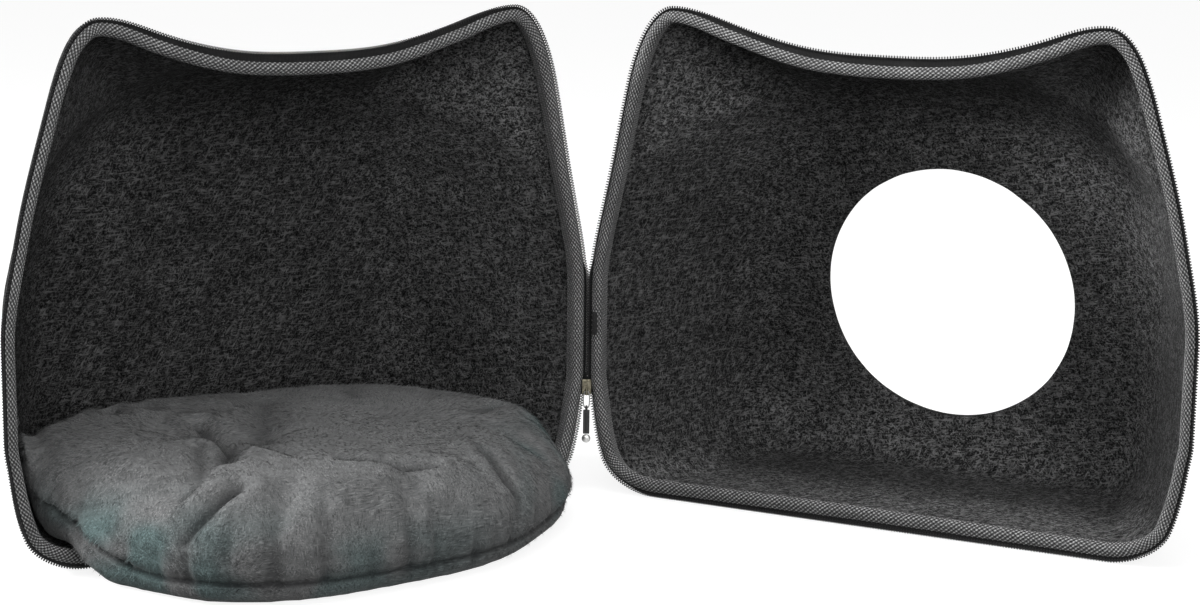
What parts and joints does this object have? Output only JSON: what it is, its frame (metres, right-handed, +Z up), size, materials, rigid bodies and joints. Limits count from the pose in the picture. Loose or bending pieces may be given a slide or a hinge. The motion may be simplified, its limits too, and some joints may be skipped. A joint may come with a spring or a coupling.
{
  "type": "felt cat cave",
  "caption": "Moulded felt cat cave with cat ears, unzipped and standing open like a book, an oval plush cushion in its back half and a round entrance in its front half.",
  "frame": {"origin": "middle of the footprint, on the floor", "axes": "+X from the half with the cushion to the half with the entrance, +Y from the open side to the backs, +Z up"},
  "size_m": [0.7668, 0.3974, 0.337],
  "materials": {
    "felt": "matte",
    "binding": "matte",
    "zip_tape": "matte",
    "zip_coil": "satin",
    "thread": "matte",
    "slider": "satin",
    "bright_metal": "satin",
    "pull": "satin",
    "plush": "matte"
  },
  "bodies": {
    "root": {"back_shell": "felt", "front_shell": "felt", "back_binding": "binding", "front_binding": "binding", "back_zip_tape": "zip_tape", "front_zip_tape": "zip_tape", "back_zip_coil": "zip_coil", "front_zip_coil": "zip_coil", "zip_end_patch": "thread", "zip_slider": "slider", "zip_link": "bright_metal", "zip_pull": "pull", "zip_pull_end": "bright_metal", "cushion": "plush"}
  },
  "joints": []
}
